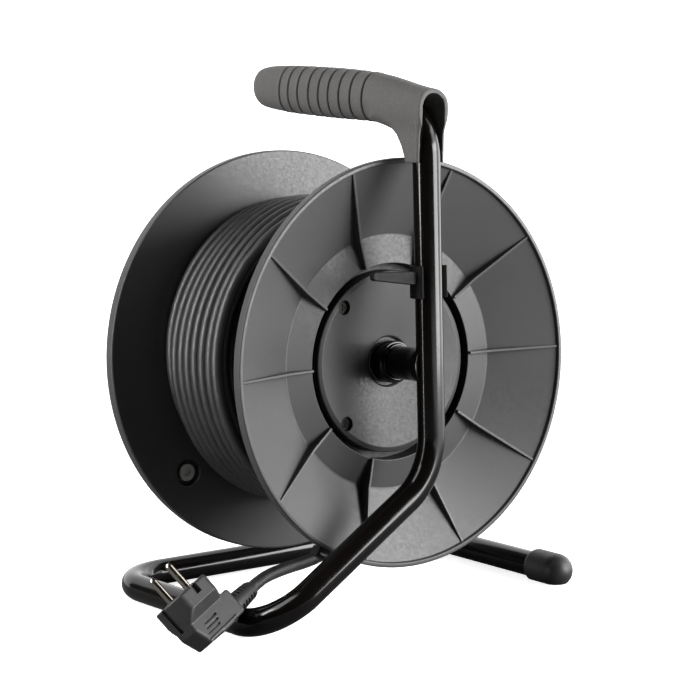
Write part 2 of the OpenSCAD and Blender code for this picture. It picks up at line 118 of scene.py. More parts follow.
def span(nt, fac, a, b, lo=0.0, hi=1.0):
    r = nt.nodes.new("ShaderNodeMapRange")
    r.inputs["From Min"].default_value = lo
    r.inputs["From Max"].default_value = hi
    r.inputs["To Min"].default_value = a
    r.inputs["To Max"].default_value = b
    nt.links.new(fac, r.inputs["Value"])
    return r.outputs[0]


def mixc(nt, fac, a, b, mode="MIX"):
    x = nt.nodes.new("ShaderNodeMix")
    x.data_type = "RGBA"
    x.blend_type = mode
    for sock, v in ((x.inputs[0], fac), (x.inputs[6], a), (x.inputs[7], b)):
        if isinstance(v, bpy.types.NodeSocket):
            nt.links.new(v, sock)
        else:
            sock.default_value = v if isinstance(v, float) else (*v, 1)
    return x.outputs[2]


def grey(v):
    return (v, v, v)


def shade(name, col, rough, var=0.12, blotch=35.0, grain=1400.0, bump=0.25, depth=0.00006, metal=0.0, spec=0.5,
          coat=0.0, coat_rough=0.08, sheen=0.0, edge=0.0, edge_col=None, rough_var=0.07, speck=0.0, wave=None, tint=None):
    """A moulded, painted or metal surface: blotchy colour, fine grain in the bump and the roughness, and edges worn lighter."""
    ma, nt, b = material(name)
    tc = nt.nodes.new("ShaderNodeTexCoord")
    vec = tc.outputs["Object"]
    big = noise(nt, vec, blotch, 4.0, 0.6)
    fine = noise(nt, vec, grain, 2.0, 0.6)
    mid = noise(nt, vec, grain * 0.22, 3.0, 0.6)
    col = np.array(col, float)
    lo, hi = tuple(np.clip(col * (1 - var), 0, 1)), tuple(np.clip(col * (1 + var), 0, 1))
    if tint is not None:
        hi = tuple(np.clip(np.array(tint, float), 0, 1))
    c = ramp(nt, big, [(0.32, lo), (0.68, hi)])
    if speck:
        c = mixc(nt, span(nt, fine, 0.0, speck, 0.45, 0.75), c, tuple(np.clip(col * 2.2 + 0.02, 0, 1)))
    if edge:
        bev = nt.nodes.new("ShaderNodeBevel")
        bev.samples = 4
        bev.inputs["Radius"].default_value = 0.0009
        geo = nt.nodes.new("ShaderNodeNewGeometry")
        dot = nt.nodes.new("ShaderNodeVectorMath")
        dot.operation = "DOT_PRODUCT"
        nt.links.new(bev.outputs[0], dot.inputs[0])
        nt.links.new(geo.outputs["Normal"], dot.inputs[1])
        worn = span(nt, dot.outputs["Value"], 1.0, 0.0, 0.90, 0.995)
        mul = nt.nodes.new("ShaderNodeMath")
        mul.operation = "MULTIPLY"
        nt.links.new(worn, mul.inputs[0])
        nt.links.new(span(nt, mid, 0.0, edge, 0.35, 0.7), mul.inputs[1])
        c = mixc(nt, mul.outputs[0], c, edge_col if edge_col is not None else tuple(np.clip(col * 2.0 + 0.01, 0, 1)))
    nt.links.new(c, b.inputs["Base Color"])
    nt.links.new(span(nt, mid, max(rough - rough_var, 0.02), min(rough + rough_var, 1.0), 0.3, 0.7), b.inputs["Roughness"])
    b.inputs["Metallic"].default_value = metal
    b.inputs["Specular IOR Level"].default_value = spec
    b.inputs["Coat Weight"].default_value = coat
    b.inputs["Coat Roughness"].default_value = coat_rough
    b.inputs["Sheen Weight"].default_value = sheen
    if bump:
        bp = nt.nodes.new("ShaderNodeBump")
        bp.inputs["Strength"].default_value = bump
        bp.inputs["Distance"].default_value = depth
        if wave:
            add = nt.nodes.new("ShaderNodeMath")
            add.operation = "ADD"
            nt.links.new(fine, add.inputs[0])
            nt.links.new(span(nt, noise(nt, vec, wave[0], 1.5), 0.0, wave[1]), add.inputs[1])
            nt.links.new(add.outputs[0], bp.inputs["Height"])
        else:
            nt.links.new(fine, bp.inputs["Height"])
        nt.links.new(bp.outputs[0], b.inputs["Normal"])
    return ma


M = {
    "frame_paint": shade("frame_paint", (0.0034, 0.0027, 0.0024), 0.14, var=0.25, grain=700, bump=0.05, depth=0.00004, spec=0.36,
                         rough_var=0.03, wave=(60.0, 2.0)),
    # near-black steel on the hub screws: painted shade, so the screws look as dark as the deep pits they sit in
    "dark_steel": shade("dark_steel", (0.012, 0.0115, 0.011), 0.30, var=0.2, grain=2200, bump=0.2, metal=1.0, rough_var=0.08),
    "bright_steel": shade("bright_steel", (0.66, 0.65, 0.63), 0.46, var=0.08, grain=2600, bump=0.15, metal=1.0, rough_var=0.10,
                          edge=0.4, edge_col=(0.8, 0.79, 0.77)),
    "grip_rubber": shade("grip_rubber", (0.082, 0.079, 0.077), 0.62, var=0.09, blotch=26, grain=1300, bump=0.9, depth=0.00026, spec=0.38,
                         sheen=0.03, speck=0.3, rough_var=0.08),
    "cap_rubber": shade("cap_rubber", grey(0.018), 0.48, var=0.18, grain=1500, bump=0.35, edge=0.3),
    "lever_plastic": shade("lever_plastic", grey(0.008), 0.50, var=0.2, grain=1500, bump=0.18, spec=0.11, edge=0.3),
    "flange_plastic": shade("flange_plastic", grey(0.050), 0.42, var=0.06, blotch=18, grain=1900, bump=0.22, spec=0.45, edge=0.30,
                            edge_col=grey(0.12)),
    "flange_fine": shade("flange_fine", grey(0.038), 0.44, var=0.06, blotch=18, grain=2300, bump=0.16, spec=0.34, edge=0.30,
                         edge_col=grey(0.10)),
    "hub_plastic": shade("hub_plastic", grey(0.027), 0.38, var=0.05, blotch=16, grain=2100, bump=0.28, spec=0.27, edge=0.3,
                         edge_col=grey(0.14)),
    # near-black plastic for the barrel, the clamp and hidden parts; also used as painted shade on the walls of the gap
    # round the hub
    "inner_plastic": shade("inner_plastic", grey(0.008), 0.55, grain=1500, bump=0.3),
    "bush_plastic": shade("bush_plastic", (0.35, 0.34, 0.30), 0.40, grain=1500, bump=0.2),
    "panel_plastic": shade("panel_plastic", grey(0.013), 0.46, grain=1700, bump=0.45, edge=0.4),
    "outlet_plastic": shade("outlet_plastic", grey(0.016), 0.38, grain=1700, bump=0.25, edge=0.35),
    "contact_metal": shade("contact_metal", (0.42, 0.37, 0.27), 0.24, var=0.12, grain=2400, bump=0.2, metal=1.0, rough_var=0.1),
    "lid_plastic": shade("lid_plastic", grey(0.015), 0.40, grain=1700, bump=0.4, edge=0.4),
    "button_plastic": shade("button_plastic", (0.26, 0.010, 0.007), 0.34, grain=1500, bump=0.2, edge=0.3),
    "terminal_plastic": shade("terminal_plastic", (0.38, 0.36, 0.31), 0.45, grain=1500, bump=0.2),
    "knob_plastic": shade("knob_plastic", grey(0.009), 0.36, grain=1600, bump=0.3, edge=0.4),
    "cord_rubber": shade("cord_rubber", grey(0.019), 0.46, var=0.22, blotch=60, grain=1300, bump=0.30, depth=0.00008, spec=0.8,
                         rough_var=0.09),
    "plug_rubber": shade("plug_rubber", grey(0.022), 0.46, var=0.2, grain=1500, bump=0.35, edge=0.4),
    "earth_metal": shade("earth_metal", (0.05, 0.047, 0.042), 0.45, var=0.12, grain=2400, bump=0.2, metal=1.0, rough_var=0.1),
    "pin_metal": shade("pin_metal", (0.42, 0.39, 0.34), 0.20, var=0.08, grain=2400, bump=0.15, metal=1.0, rough_var=0.08),
}

# ---------------------------------------------------------------- mesh tools
def build(name, V, F, body, slot, rep=(), sharp=32.0, bevel=0.0, seg=3, weighted=True, mat=None, world=False):
    me = bpy.data.meshes.new(name)
    V = np.asarray(V, float).reshape(-1, 3)
    me.from_pydata((V if world else P(V)).tolist(), [], [list(map(int, f)) for f in F])
    bm = bmesh.new()
    bm.from_mesh(me)
    bmesh.ops.remove_doubles(bm, verts=bm.verts, dist=2e-6)
    bmesh.ops.recalc_face_normals(bm, faces=bm.faces)
    bm.to_mesh(me)
    bm.free()
    me.polygons.foreach_set("use_smooth", [True] * len(me.polygons))
    me.set_sharp_from_angle(angle=math.radians(sharp))
    ob = bpy.data.objects.new(name, me)
    scene.collection.objects.link(ob)
    me.materials.append(mat or M[slot])
    if bevel:
        mo = ob.modifiers.new("bevel", "BEVEL")
        mo.width = bevel / 1000
        mo.segments = seg
        mo.limit_method = "ANGLE"
        mo.angle_limit = math.radians(28)
        mo.use_clamp_overlap = True
        mo.miter_outer = "MITER_ARC"
    if weighted:
        wn = ob.modifiers.new("normals", "WEIGHTED_NORMAL")
        wn.keep_sharp = True
        wn.weight = 60
    if body:
        finish_piece(ob, body, rep)
    return ob


def finish_piece(ob, body, rep=()):
    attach(ob, body)
    if rep:
        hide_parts(*rep)
    return ob


def bake(ob, sharp=32.0):
    """Put the result of the modifiers into the mesh."""
    dg = bpy.context.evaluated_depsgraph_get()
    me = bpy.data.meshes.new_from_object(ob.evaluated_get(dg))
    ob.modifiers.clear()
    old = ob.data
    ob.data = me
    bpy.data.meshes.remove(old)
    me.polygons.foreach_set("use_smooth", [True] * len(me.polygons))
    me.set_sharp_from_angle(angle=math.radians(sharp))
    return ob


def cut(ob, cutters, op="DIFFERENCE", sharp=32.0, weighted=True):
    for c in cutters:
        mo = ob.modifiers.new("cut", "BOOLEAN")
        mo.object = c
        mo.operation = op
        mo.solver = "EXACT"
    bake(ob, sharp)
    for c in cutters:
        bpy.data.objects.remove(c)
    if weighted:
        wn = ob.modifiers.new("normals", "WEIGHTED_NORMAL")
        wn.keep_sharp = True
    return ob


def rounded(prof, rad, seg=4, closed=True):
    """A profile with its corners rounded; a point may carry its own radius as a third number."""
    out, n = [], len(prof)
    for i, p in enumerate(prof):
        r = p[2] if len(p) > 2 else rad
        q = np.array(p[:2], float)
        if (not closed and i in (0, n - 1)) or r <= 0 or q[0] < 0.02:
            out.append(q)
            continue
        a, b = np.array(prof[i - 1][:2], float) - q, np.array(prof[(i + 1) % n][:2], float) - q
        la, lb = np.linalg.norm(a), np.linalg.norm(b)
        a, b = a / la, b / lb
        ang = math.acos(max(-1.0, min(1.0, float(a @ b))))
        if ang > math.pi - 0.06 or ang < 0.05:
            out.append(q)
            continue
        t = min(r / math.tan(ang / 2), 0.46 * la, 0.46 * lb)
        rr = t * math.tan(ang / 2)
        c = q + unit(a + b) * rr / math.sin(ang / 2)
        s, e = q + a * t - c, q + b * t - c
        full = math.acos(max(-1.0, min(1.0, float(unit(s) @ unit(e)))))
        k = max(2, int(round(seg * full / (math.pi / 2))) + 1)
        for j in range(k + 1):
            w = j / k
            d = (math.sin((1 - w) * full) * s + math.sin(w * full) * e) / max(math.sin(full), 1e-9)
            out.append(c + d)
    return np.array(out)


def grid_faces(rows, cols, wrap_rows=False, wrap_cols=True, off=0):
    F = []
    for i in range(rows if wrap_rows else rows - 1):
        for j in range(cols if wrap_cols else cols - 1):
            a, b = off + i * cols + j, off + i * cols + (j + 1) % cols
            c, d = off + ((i + 1) % rows) * cols + (j + 1) % cols, off + ((i + 1) % rows) * cols + j
            F.append((a, b, c, d))
    return F


def lathe_mesh(prof, n=128, rad=0.5, seg=4, at=(0.0, 0.0), closed=True):
    """Points and faces of a profile [radius, y] turned about a line parallel to Y."""
    pts = rounded(prof, rad, seg, closed)
    a = np.arange(n) * 2 * math.pi / n
    V = np.stack([pts[:, None, 0] * np.cos(a) + at[0], np.repeat(pts[:, None, 1], n, 1), pts[:, None, 0] * np.sin(a) + at[1]], -1)
    return V.reshape(-1, 3), grid_faces(len(pts), n, wrap_rows=closed)


def lathe(name, prof, body, slot, n=128, rad=0.5, seg=4, at=(0.0, 0.0), tr=None, **kw):
    V, F = lathe_mesh(prof, n, rad, seg, at)
    if tr is not None:
        V = tr(V)
    return build(name, V, F, body, slot, **kw)


def tube_path(points, radii, step=3.0):
    """A line through corner points with round bends at them."""
    pts = [np.array(p, float) for p in points]
    out = [pts[0]]
    for i in range(1, len(pts) - 1):
        u, w, R = unit(pts[i] - pts[i - 1]), unit(pts[i + 1] - pts[i]), radii[i - 1]
        ang = math.acos(float(u @ w))
        mm = unit(w - (w @ u) * u)
        c = pts[i] - u * R * math.tan(ang / 2) + mm * R
        k = max(3, int(math.degrees(ang) / step))
        for j in range(k + 1):
            t = ang * j / k
            out.append(c - mm * R * math.cos(t) + u * R * math.sin(t))
    out.append(pts[-1])
    return np.array(out)


def frames(path):
    """Directions along a line, with a side and a top that don't twist."""
    path = np.asarray(path, float)
    t = np.gradient(path, axis=0)
    t /= np.linalg.norm(t, axis=1)[:, None]
    ref = np.array([0, 0, 1.0]) if abs(t[0][2]) < 0.9 else np.array([1.0, 0, 0])
    a = unit(np.cross(ref, t[0]))
    A = [a]
    for i in range(1, len(path)):
        a = a - (a @ t[i]) * t[i]
        a = unit(a)
        A.append(a)
    A = np.array(A)
    return t, A, np.cross(t, A)


def sweep_mesh(path, radius, n=32, caps=True):
    path = np.asarray(path, float)
    t, A, B = frames(path)
    rad = np.broadcast_to(np.asarray(radius, float), (len(path),))
    a = np.arange(n) * 2 * math.pi / n
    V = path[:, None] + rad[:, None, None] * (np.cos(a)[None, :, None] * A[:, None] + np.sin(a)[None, :, None] * B[:, None])
    F = grid_faces(len(path), n)
    V = V.reshape(-1, 3)
    if caps:
        F += [tuple(range(n - 1, -1, -1)), tuple(range((len(path) - 1) * n, len(path) * n))]
    return V, F


def prism(poly, y0, y1, axis="y", tr=None):
    """A polygon [(a, b)] pushed from y0 to y1 along an axis."""
    k = len(poly)
    def put(p, h):
        a, b = p
        return {"y": (a, h, b), "x": (h, a, b), "z": (a, b, h)}[axis]
    V = np.array([put(p, y0) for p in poly] + [put(p, y1) for p in poly], float)
    F = [tuple(range(k)), tuple(range(2 * k - 1, k - 1, -1))] + [(i, (i + 1) % k, (i + 1) % k + k, i + k) for i in range(k)]
    return (V if tr is None else tr(V)), F


def boxm(lo, hi, tr=None):
    (x0, y0, z0), (x1, y1, z1) = lo, hi
    return prism([(x0, z0), (x1, z0), (x1, z1), (x0, z1)], y0, y1, "y", tr)


def joined(parts):
    V, F, off = [], [], 0
    for v, f in parts:
        v = np.asarray(v, float)
        V.append(v)
        F += [tuple(i + off for i in x) for x in f]
        off += len(v)
    return np.concatenate(V), F


def cutter(V, F):
    return build("cutter", V, F, None, "frame_paint", weighted=False)


# ---------------------------------------------------------------- blended shapes
def poly_dist(a, b, poly):
    """Signed distance in a plane to a polygon, negative inside."""
    d = None
    inside = np.zeros(np.broadcast(a, b).shape, bool)
    for (x0, y0), (x1, y1) in zip(poly, poly[1:] + poly[:1]):
        ex, ey = x1 - x0, y1 - y0
        wx, wy = a - x0, b - y0
        t = np.clip((wx * ex + wy * ey) / (ex * ex + ey * ey), 0, 1)
        q = (wx - t * ex) ** 2 + (wy - t * ey) ** 2
        d = q if d is None else np.minimum(d, q)
        c = (y0 > b) != (y1 > b)
        xc = x0 + (b - y0) * ex / (ey if abs(ey) > 1e-9 else 1e-9)
        inside ^= c & (a < xc)
    return np.where(inside, -1.0, 1.0) * np.sqrt(d)


def line_dist(a, b, line):
    d = None
    for (x0, y0), (x1, y1) in zip(line[:-1], line[1:]):
        ex, ey = x1 - x0, y1 - y0
        t = np.clip(((a - x0) * ex + (b - y0) * ey) / (ex * ex + ey * ey), 0, 1)
        q = (a - x0 - t * ex) ** 2 + (b - y0 - t * ey) ** 2
        d = q if d is None else np.minimum(d, q)
    return np.sqrt(d)


def smin(a, b, k):
    h = np.maximum(k - np.abs(a - b), 0.0) / k
    return np.minimum(a, b) - h * h * k * 0.25


def smax(a, b, k):
    return -smin(-a, -b, k)


def box_dist(q, half, r=0.0):
    """Distance to a box given as a list of offsets from its middle and its half sizes."""
    w = [np.abs(x) - h + r for x, h in zip(q, half)]
    out = np.sqrt(sum(np.maximum(x, 0) ** 2 for x in w))
    top = w[0]
    for x in w[1:]:
        top = np.maximum(top, x)
    return out + np.minimum(top, 0) - r


def skin(dist, lo, hi, h, steps=2):
    """A quad mesh of the surface where the distance function is zero."""
    ax = [np.arange(lo[i], hi[i] + h, h) for i in range(3)]
    X, Y, Z = np.meshgrid(*ax, indexing="ij", sparse=True)
    D = dist(X, Y, Z)
    S = D < 0
    n = [x - 1 for x in D.shape]
    tot = np.zeros(n, np.int8)
    for i in (0, 1):
        for j in (0, 1):
            for k in (0, 1):
                tot += S[i:n[0] + i, j:n[1] + j, k:n[2] + k]
    idx = np.argwhere((tot > 0) & (tot < 8))
    corner = {(i, j, k): D[idx[:, 0] + i, idx[:, 1] + j, idx[:, 2] + k] for i in (0, 1) for j in (0, 1) for k in (0, 1)}
    acc, cnt = np.zeros((len(idx), 3)), np.zeros(len(idx))
    for axis in range(3):
        for u in (0, 1):
            for v in (0, 1):
                c0 = [u, v]
                c0.insert(axis, 0)
                c1 = list(c0)
                c1[axis] = 1
                d0, d1 = corner[tuple(c0)], corner[tuple(c1)]
                hit = (d0 < 0) != (d1 < 0)
                t = np.where(hit, d0 / np.where(hit, d0 - d1, 1.0), 0.0)
                p = np.tile(np.array(c0, float), (len(idx), 1))
                p[:, axis] = t
                acc[hit] += p[hit]
                cnt += hit
    V = np.array([x[0] for x in ax]) + h * (idx + acc / cnt[:, None])
    index = np.full(n, -1, np.int64)
    index[idx[:, 0], idx[:, 1], idx[:, 2]] = np.arange(len(idx))
    F = []
    for axis in range(3):
        o1, o2 = (axis + 1) % 3, (axis + 2) % 3
        a, b = [slice(None)] * 3, [slice(None)] * 3
        a[axis], b[axis] = slice(0, -1), slice(1, None)
        cross = S[tuple(a)] != S[tuple(b)]
        e = np.argwhere(cross)
        e = e[(e[:, o1] > 0) & (e[:, o2] > 0) & (e[:, o1] < n[o1]) & (e[:, o2] < n[o2])]
        quad = []
        for u, v in ((-1, -1), (0, -1), (0, 0), (-1, 0)):
            c = e.copy()
            c[:, o1] += u
            c[:, o2] += v
            quad.append(index[c[:, 0], c[:, 1], c[:, 2]])
        q = np.stack(quad, 1)
        flip = ~S[e[:, 0], e[:, 1], e[:, 2]]
        q[flip] = q[flip][:, ::-1]
        F.append(q)
    F = np.concatenate(F)
    for _ in range(steps):
        e = 0.06
        x, y, z = V.T
        d = dist(x, y, z)
        g = np.stack([dist(x + e, y, z) - dist(x - e, y, z), dist(x, y + e, z) - dist(x, y - e, z),
                      dist(x, y, z + e) - dist(x, y, z - e)], 1) / (2 * e)
        gg = np.maximum((g * g).sum(1), 0.2)
        V = V - np.clip((d / gg)[:, None] * g, -0.4 * h, 0.4 * h)
    return V, F


# ---------------------------------------------------------------- cords
CORD = 8.0


def winding():
    """The cord inside the barrel and its turns on it, one line, as points 6 degrees apart."""
    deg, ang, R, Y = 6.0, [], [], []
    a = 20.0
    # inner lead: 210 degrees from the clamp to the first turn
    n = 35
    for i in range(n):
        s = i / n
        ang.append(a - 210 * s)
        R.append(52 + 27.5 * s)
        Y.append(-35.5 - 9.6 * max(0.0, (s - 0.3) / 0.7) ** 3)
    a = a - 210

    def layer(turns, r, y0, y1, lead=0.35, wob=0.0, seed=0.0, stops=None, loose=0.0):
        nonlocal a
        k = int(round(turns * 360 / deg))
        r_from, y_from = R[-1], Y[-1]
        for i in range(k):
            t = i / k
            s = min(1.0, i * deg / (360 * lead))
            s = s * s * (3 - 2 * s)
            yy = y0 + (y1 - y0) * t if stops is None else float(np.interp(t * turns, range(len(stops)), stops))
            yy += wob * math.sin(2 * math.pi * (t * turns * 0.23 + seed)) * math.sin(math.pi * t)
            ang.append(a - deg * i)
            slack = loose * max(0.0, math.cos(math.radians(a - deg * i - 90))) ** 5 * (0.55 + 0.45 * math.sin(math.pi * min(1.0, t * 1.15)))
            R.append(r_from + (r - r_from) * s + slack)
            Y.append(y_from + (yy - y_from) * s if s < 1 else yy)
        a -= deg * k

    layer(14.2, 82.0, -46.3, 63.7)
    layer(12.0, 89.0, 63.7, -29.0, wob=0.35, seed=0.2)
    layer(8.6, 96.0, -2.0, 63.6, lead=0.5, wob=0.35, seed=0.6)
    # the top turns lie less evenly, and stand off a little over the axle
    layer(7.3, 103.2, 63.6, 0.2, wob=0.5, seed=0.35, stops=[63.6, 52.3, 44.2, 35.8, 26.6, 18.2, 8.9, 0.4, -4.0], loose=5.0)
    # last part turn, down to where the free end leaves at 48.2 degrees below +X
    end = -48.2 + 360 * math.floor((a + 48.2) / 360)
    k = int(round((a - end) / deg))
    y_from = Y[-1]
    for i in range(1, k + 1):
        s = i / k
        q = s * s * (3 - 2 * s)
        ang.append(a + (end - a) * s)
        R.append(103.2 + (105.1 - 103.2) * q)
        Y.append(y_from + (-4.6 - y_from) * q)
    ang, R, Y = np.radians(ang), np.array(R), np.array(Y)
    return np.stack([R * np.cos(ang), Y, R * np.sin(ang)], -1)


def spline(name, pts, d, slot, body, res=5):
    cu = bpy.data.curves.new(name, "CURVE")
    cu.dimensions = "3D"
    cu.bevel_depth = d / 2000
    cu.bevel_resolution = res
    cu.use_fill_caps = True
    sp = cu.splines.new("POLY")
    sp.points.add(len(pts) - 1)
    sp.points.foreach_set("co", np.concatenate([P(pts), np.ones((len(pts), 1))], 1).astype(np.float32).ravel())
    sp.use_smooth = True
    ob = bpy.data.objects.new(name, cu)
    scene.collection.objects.link(ob)
    cu.materials.append(M[slot])
    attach(ob, body)
    return ob


wind_pts = winding()
wound = spline("cord_wound", wind_pts, CORD, "cord_rubber", "drum")
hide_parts("cable_winding", "inner_lead")

# plug: local z along the pins, y along the cord's way out
plug_o = np.array([-177.2, -67.1, -128.6])
pu = unit([-0.461, 0.476, 0.749])
pc = np.array([0.875, 0.384, 0.295])
pc = unit(pc - (pc @ pu) * pu)
ps = np.cross(pc, pu)
RELIEF = 23.0
relief_a = plug_o + pc * 26.6 - pu * 27.4
relief_b = plug_o + pc * (26.8 + RELIEF) - pu * 27.4
TAIL = np.array([relief_b, relief_b + pc * 6, (-107.8, -54.4, -131.3), (-98.6, -49.6, -130.6), (-87.6, -44.8, -130.3),
                 (-75, -39.8, -130.3), (-58, -33.8, -130.3), (-42, -28, -129), (-22, -20, -125), (0, -12, -117),
                 (22, -6.5, -107), (46, -4.6, -94.8), (70, -4.6, -78.4)], float)


def smooth_line(pts, n):
    """Catmull-Rom line through points, n steps a span."""
    Q = np.concatenate([[2 * pts[0] - pts[1]], pts, [2 * pts[-1] - pts[-2]]])
    out = []
    for i in range(len(pts) - 1):
        p0, p1, p2, p3 = Q[i:i + 4]
        for j in range(n):
            t = j / n
            out.append(0.5 * ((2 * p1) + (p2 - p0) * t + (2 * p0 - 5 * p1 + 4 * p2 - p3) * t * t + (3 * p1 - p0 - 3 * p2 + p3) * t ** 3))
    out.append(pts[-1])
    return np.array(out)


tail_pts = smooth_line(TAIL, 8)[::-1]
tail = spline("cord_tail", tail_pts, CORD, "cord_rubber", "frame")
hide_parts("cable_tail")

def at_plug(V):
    V = np.asarray(V, float)
    return plug_o + V[:, :1] * ps + V[:, 1:2] * pc + V[:, 2:3] * pu


def turned_z(prof, n=96, rad=0.5, seg=4):
    """A profile [radius, z] turned about local z."""
    V, F = lathe_mesh(prof, n, rad, seg)
    return np.stack([V[:, 0], V[:, 2], V[:, 1]], -1), F


def plug_dist(x, y, z):
    """Round front, flanks that step in for the fingers, and a bar that runs back into the strain relief."""
    r = np.sqrt(x * x + y * y)
    e = 1.3
    d = poly_dist(r, z, [(-30.0, -e), (19.4 - e, -e), (19.4 - e, -22 - 0.3), (15.2 - e, -34.5 + e), (-30.0, -34.5 + e)]) - e
    # the front rim is crisper than the back
    bar = box_dist([x, y - 13.2, z + 25.5], [9.5, 13.2, 9.0], 2.4)
    d = smin(d, bar, 2.5)
    ax = np.abs(x)
    fl = poly_dist(ax, z, [(-30.0, 8.0), (14.6, 8.0), (14.6, -11.6), (8.3, -18.0), (7.6, -46.0), (-30.0, -46.0)])
    d = smax(d, fl, 2.0)
    # earth contact grooves
    d = np.maximum(d, -box_dist([x, np.abs(y) - 19.6, z + 8.0], [1.6, 2.8, 10.8], 0.3))
    # guide notches
    d = np.maximum(d, -box_dist([ax - 14.6, y, z + 0.0], [3.0, 2.4, 6.8], 0.3))
    # finger grooves
    for k in range(3):
        d = np.maximum(d, -box_dist([ax - 8.0, y + 1.5 + 1.5 * k, z + 22.9 + 3 * k], [1.25, 6.5, 0.6], 0.3))
    # parting line along the back edge of the bar
    d = np.maximum(d, -box_dist([ax - 8.1, y - 2.0, z + 32.0], [0.95, 15.0, 0.28], 0.1))
    return d


V, F = skin(plug_dist, (-17, -22, -36), (17, 29, 1.5), 0.42)
plug_body = build("plug_shell", at_plug(V), F, "frame", "plug_rubber", rep=["plug_body"], sharp=50, weighted=False)
# moulded ring round each pin's foot
parts = []
for s in (-1, 1):
    V, F = turned_z([(2.5, -0.6), (4.3, -0.6), (4.3, 0.35, 0.25), (2.9, 0.5, 0.15), (2.5, 0.2)], 40, seg=3)
    V[:, 0] += 9.5 * s
    parts.append((at_plug(V), F))
plug_rings = build("plug_rings", *joined(parts), "frame", "plug_rubber")
parts = []
for s in (-1, 1):
    V, F = boxm((-1.1, s * 17.8 - 0.5, -16), (1.1, s * 17.8 + 0.5, -0.6))
    parts.append((at_plug(V), F))
plug_earth = build("plug_earth", *joined(parts), "frame", "pin_metal", bevel=0.3, mat=M["earth_metal"])
parts = []
for s in (-1, 1):
    V, F = turned_z([(0, -2), (2.4, -2), (2.4, 17.0, 1.6), (1.5, 19, 0.9), (0, 19)], 48, seg=5)
    V[:, 0] += 9.5 * s
    parts.append((at_plug(V), F))
plug_pins = build("plug_pins_round", *joined(parts), "frame", "pin_metal", rep=["plug_pins"])

# strain relief: a smooth cone with four rows of slots, its own lengthwise direction on pc
side_r = unit(np.cross((0.0, 0.0, 1.0), pc))
down_r = np.cross(side_r, pc)


def at_relief(V):
    V = np.asarray(V, float)
    return relief_a + V[:, :1] * down_r + V[:, 1:2] * side_r + V[:, 2:3] * pc


def relief_dist(x, y, z):
    r = np.sqrt(x * x + y * y)
    L = RELIEF + 0.2
    d = poly_dist(r, z, [(-20.0, -0.4), (6.7, -0.4), (7.1, 0.4), (5.75, L - 2.6), (5.2, L - 0.9), (4.5, L), (-20.0, L)]) - 0.12
    for a in (107, 177, 287, 357):
        c, s = math.cos(math.radians(a)), math.sin(math.radians(a))
        u, v = x * c + y * s, -x * s + y * c
        for k in range(5):
            d = np.maximum(d, -box_dist([u - 6.9, v, z - 3.4 - 3.55 * k], [2.3, 2.9, 0.78], 0.3))
    return np.maximum(d, 3.99 - r)


V, F = skin(relief_dist, (-8.5, -8.5, -1.2), (8.5, 8.5, RELIEF + 1.4), 0.36)
relief = build("plug_relief_slotted", at_relief(V), F, "frame", "plug_rubber", rep=["plug_relief"], sharp=50, weighted=False)

# ---------------------------------------------------------------- stand
V5, V1 = (0, -95.3, 168), (0, -95.3, -71.8)
V2, V3, V4 = (-130, -95.3, -154), (-130, 100.6, -154), (131.8, 100.6, -154)
leg_end = np.array([118.4, -85, -154.0])
tilt = math.radians(7.2)
d_grip = np.array([0, -math.cos(tilt), -math.sin(tilt)])
grip_in = np.array(V5) - d_grip * 150
centre = tube_path([grip_in, V5, V1, V2, V3, V4, leg_end], [38, 48, 35, 40, 40])
V, F = sweep_mesh(centre, 9.0, 48)
build("frame_bent_tube", V, F, "frame", "frame_paint", rep=["frame_tube"], sharp=60, weighted=False)

# grip: an oval that thins towards the far end, blended into the neck that is pushed over the upright
GRIP = np.array([(-108, 175.4, 151.6, 10.3), (-102.3, 176.8, 152, 10.6), (-92, 180.0, 153, 11), (-78, 184.0, 155, 11.3),
                 (-62, 188.2, 157, 11.7), (-49, 191.0, 158.8, 12.1), (-27, 194.2, 161, 12.3), (-5, 196.8, 163, 12.5),
                 (18, 199.2, 165.4, 12.5), (42, 201.3, 168.2, 12.4), (54, 202.2, 169.7, 12.2), (66, 203, 171.5, 11.8),
                 (75, 203.2, 173, 11.4), (82, 202.7, 174.6, 10.9), (90, 202.2, 176, 10.9), (99, 201.8, 176.6, 10.9)])
NECK = [(99.7, 110.0), (99.7, 131.0), (102.3, 168.0), (102.6, 172.0), (102.2, 176.0), (60.0, 176.0), (50.0, 162.0), (60.0, 157.5),
        (69.0, 153.0), (74.0, 148.0), (78.5, 141.0), (82.5, 131.0), (84.0, 110.0)]
RINGS = (51.3, 40.6, 29.2, 16.3, 4.8, -6.5, -18.5, -30.8, -43.8)
bore_line = [(float(q[1]), float(q[2])) for q in tube_path([grip_in + d_grip * -0.5, V5, (0, -95.3, 120)], [38], step=4)]


